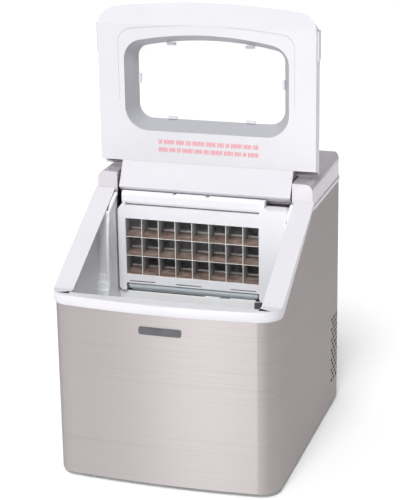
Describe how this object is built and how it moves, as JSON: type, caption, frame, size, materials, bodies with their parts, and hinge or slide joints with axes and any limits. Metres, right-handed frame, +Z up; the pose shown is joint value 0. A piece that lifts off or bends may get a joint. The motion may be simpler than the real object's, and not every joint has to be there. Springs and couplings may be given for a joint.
{
  "type": "ice maker",
  "caption": "Countertop ice maker with a steel casing, sloping white collar, hinged lid with a window standing open, ice bin, mould evaporator and rear cover with controls.",
  "frame": {"origin": "middle of the footprint, on the bench that the feet stand on", "axes": "+Z up, the front faces -Y, +X to the right seen from the front"},
  "size_m": [0.336, 0.42, 0.6555],
  "materials": {
    "stainless": "horizontal brushed satin",
    "zinc_sheet": "zinc plated, matt",
    "white_plastic": "smooth satin white",
    "grey_plastic": "smooth satin light grey",
    "frame_plastic": "smooth grey",
    "liner_plastic": "smooth pale bluish white",
    "housing_plastic": "satin white",
    "basket_plastic": "satin white",
    "clear_pane": "clear",
    "flap_plastic": "translucent blue-grey",
    "tank_plastic": "natural",
    "foam": "expanded foam",
    "tinned_copper": "tinned, stained",
    "copper": "bright copper",
    "brass": "turned",
    "black_steel": "gloss black paint",
    "condenser_fins": "rolled",
    "motor_metal": "grey",
    "fan_plastic": "black",
    "rubber": "matt",
    "screw_steel": "plated",
    "badge_metal": "dark, blank",
    "panel_plastic": "satin",
    "display_black": "gloss",
    "key_plastic": "satin",
    "board": "solder mask",
    "dark_plastic": "satin",
    "hose": "clear silicone"
  },
  "bodies": {
    "cabinet": {"base_pan": "zinc_sheet", "feet": "rubber", "foot_screws": "screw_steel", "outer_wrap": "stainless", "rear_panel": "zinc_sheet", "rear_screws": "screw_steel", "front_collar": "white_plastic", "top_cover": "grey_plastic", "cover_screws": "screw_steel", "name_badge": "badge_metal", "bin_liner": "liner_plastic", "liner_insulation": "foam", "sump_tank": "tank_plastic", "water_pump": "dark_plastic", "pump_hose": "hose", "level_probes": "screw_steel", "bin_full_sensor": "dark_plastic", "drain_port": "white_plastic", "evaporator_housing": "housing_plastic", "evaporator_grid": "tinned_copper", "evaporator_coil": "copper", "distributor_bar": "housing_plastic", "distributor_inlet": "white_plastic", "flap_bushes": "dark_plastic", "compressor": "black_steel", "compressor_grommets": "rubber", "compressor_bolts": "screw_steel", "condenser_core": "condenser_fins", "fan_shroud": "fan_plastic", "fan_motor": "motor_metal", "filter_drier": "copper", "hot_gas_valve": "brass", "discharge_tube": "copper", "suction_tube": "copper", "control_board": "board", "control_panel": "panel_plastic", "display_window": "display_black", "cord_gland": "dark_plastic"},
    "lid": {"lid_outer_shell": "grey_plastic", "lid_inner_panel": "white_plastic", "lid_window_frame": "frame_plastic", "lid_window": "clear_pane", "window_clips": "white_plastic", "hinge_pins": "screw_steel"},
    "basket": {"ice_basket": "basket_plastic"},
    "flap": {"splash_flap": "flap_plastic"},
    "fan": {"fan_blade": "fan_plastic"},
    "power_key": {"power_button": "key_plastic"},
    "select_key": {"select_button": "key_plastic"},
    "size_key": {"size_button": "key_plastic"},
    "drain_plug": {"drain_cap": "dark_plastic"}
  },
  "joints": [
    {"name": "lid_hinge", "type": "hinge", "parent": "cabinet", "child": "lid", "pos_m": [0, 0.02839, 0.393], "axis": [1, 0, 0], "range_deg": [0, 118.4]},
    {"name": "basket_lift", "type": "slide", "parent": "cabinet", "child": "basket", "axis": [0, 0, 1], "range_m": [0, 0.12]},
    {"name": "flap_swing", "type": "hinge", "parent": "cabinet", "child": "flap", "pos_m": [0, 0.00499, 0.2284], "axis": [-1, 0, 0], "range_deg": [0, 25]},
    {"name": "fan_spin", "type": "hinge", "parent": "cabinet", "child": "fan", "pos_m": [0, 0.132, 0.097], "axis": [1, 0, 0], "continuous": true},
    {"name": "power_press", "type": "slide", "parent": "cabinet", "child": "power_key", "axis": [0, 0, -1], "range_m": [0, 0.0015], "stiffness_N_per_m": 400},
    {"name": "select_press", "type": "slide", "parent": "cabinet", "child": "select_key", "axis": [0, 0, -1], "range_m": [0, 0.0015], "stiffness_N_per_m": 400},
    {"name": "size_press", "type": "slide", "parent": "cabinet", "child": "size_key", "axis": [0, 0, -1], "range_m": [0, 0.0015], "stiffness_N_per_m": 400},
    {"name": "drain_turn", "type": "hinge", "parent": "cabinet", "child": "drain_plug", "pos_m": [0, -0.07401, 0.03], "axis": [-1, 0, 0], "range_deg": [0, 90]}
  ]
}
